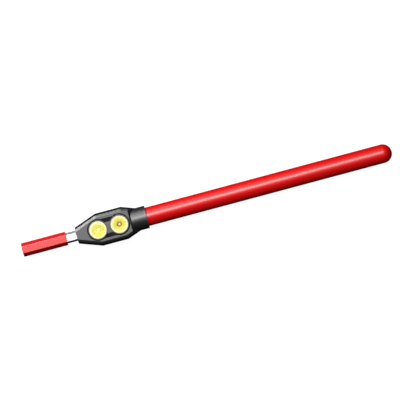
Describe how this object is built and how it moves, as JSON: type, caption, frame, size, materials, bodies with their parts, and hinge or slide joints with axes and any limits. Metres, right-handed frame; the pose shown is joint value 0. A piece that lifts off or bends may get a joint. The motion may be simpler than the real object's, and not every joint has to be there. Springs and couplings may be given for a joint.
{
  "type": "traffic baton light",
  "caption": "Traffic baton with a red domed light wand, a black faceted lamp housing and a red hexagonal grip; hinged battery door and sprung buttons on its flat back.",
  "frame": {"origin": "middle of the bounding box, on the plane that the flat back rests on", "axes": "+X along the baton from the grip to the wand's domed tip, +Z out of the lamps, -Z out of the flat back"},
  "size_m": [0.8051, 0.07, 0.051],
  "materials": {
    "housing_plastic": "fine moulded texture",
    "bezel_plastic": "satin",
    "inner_plastic": "plain moulded",
    "button_rubber": "matt",
    "seal_rubber": "matt",
    "buffer_foam": "closed-cell",
    "grip_red": "smooth moulded",
    "wand_red": "glossy translucent",
    "bar_aluminium": "satin anodised",
    "sink_aluminium": "as cast",
    "steel_fasteners": "zinc plated",
    "contact_metal": "nickel plated",
    "reflector_silver": "vacuum metallised",
    "flood_lens": "patterned inside",
    "spot_lens": "clear",
    "emitter": "clear dome over phosphor",
    "red_led": "clear",
    "circuit_board": "solder mask",
    "board_parts": "moulded",
    "wire": "insulated",
    "cell_wrap": "shrink-wrapped"
  },
  "bodies": {
    "housing": {"back_shell": "housing_plastic", "bar_screws": "steel_fasteners", "base_plug": "inner_plastic", "battery_leads": "wire", "board_screws": "steel_fasteners", "board_standoffs": "inner_plastic", "cell_1": "cell_wrap", "cell_2": "cell_wrap", "contact_plates": "contact_metal", "contact_springs": "contact_metal", "driver_board": "circuit_board", "driver_parts": "board_parts", "flood_bezel": "bezel_plastic", "flood_emitter": "emitter", "flood_leads": "wire", "flood_lens": "flood_lens", "flood_reflector": "reflector_silver", "flood_seal": "seal_rubber", "flood_star": "circuit_board", "front_shell": "housing_plastic", "grip_screw": "steel_fasteners", "grip_sleeve": "grip_red", "handle_bar": "bar_aluminium", "heat_sink": "sink_aluminium", "heat_sink_screws": "steel_fasteners", "hinge_pin": "steel_fasteners", "lamp_button_spring": "contact_metal", "shell_screws": "steel_fasteners", "shell_seal": "seal_rubber", "spot_bezel": "bezel_plastic", "spot_emitter": "emitter", "spot_leads": "wire", "spot_lens": "spot_lens", "spot_reflector": "reflector_silver", "spot_seal": "seal_rubber", "spot_star": "circuit_board", "switch_board": "circuit_board", "switch_board_screws": "steel_fasteners", "switch_leads": "wire", "tip_buffer": "buffer_foam", "tube_seal": "seal_rubber", "wand_board": "circuit_board", "wand_button_spring": "contact_metal", "wand_leads": "wire", "wand_leds_back": "red_led", "wand_leds_front": "red_led", "wand_spacers": "inner_plastic", "wand_tube": "wand_red"},
    "wand_button": {"wand_button": "button_rubber"},
    "lamp_button": {"lamp_button": "button_rubber"},
    "battery_door": {"battery_door": "housing_plastic", "door_seal": "seal_rubber"},
    "door_lock": {"door_lock": "steel_fasteners"}
  },
  "joints": [
    {"name": "wand_button_press", "type": "slide", "parent": "housing", "child": "wand_button", "axis": [0, 0, 1], "range_m": [0, 0.001], "stiffness_N_per_m": 400, "deforming": ["wand_button_spring"]},
    {"name": "lamp_button_press", "type": "slide", "parent": "housing", "child": "lamp_button", "axis": [0, 0, 1], "range_m": [0, 0.001], "stiffness_N_per_m": 400, "deforming": ["lamp_button_spring"]},
    {"name": "battery_door_swing", "type": "hinge", "parent": "housing", "child": "battery_door", "pos_m": [-0.1674, 0, 0.0014], "axis": [0, -1, 0], "range_deg": [0, 95]},
    {"name": "door_lock_turn", "type": "hinge", "parent": "battery_door", "child": "door_lock", "pos_m": [-0.2466, 0, 0], "axis": [0, 0, 1], "range_deg": [0, 90]}
  ]
}
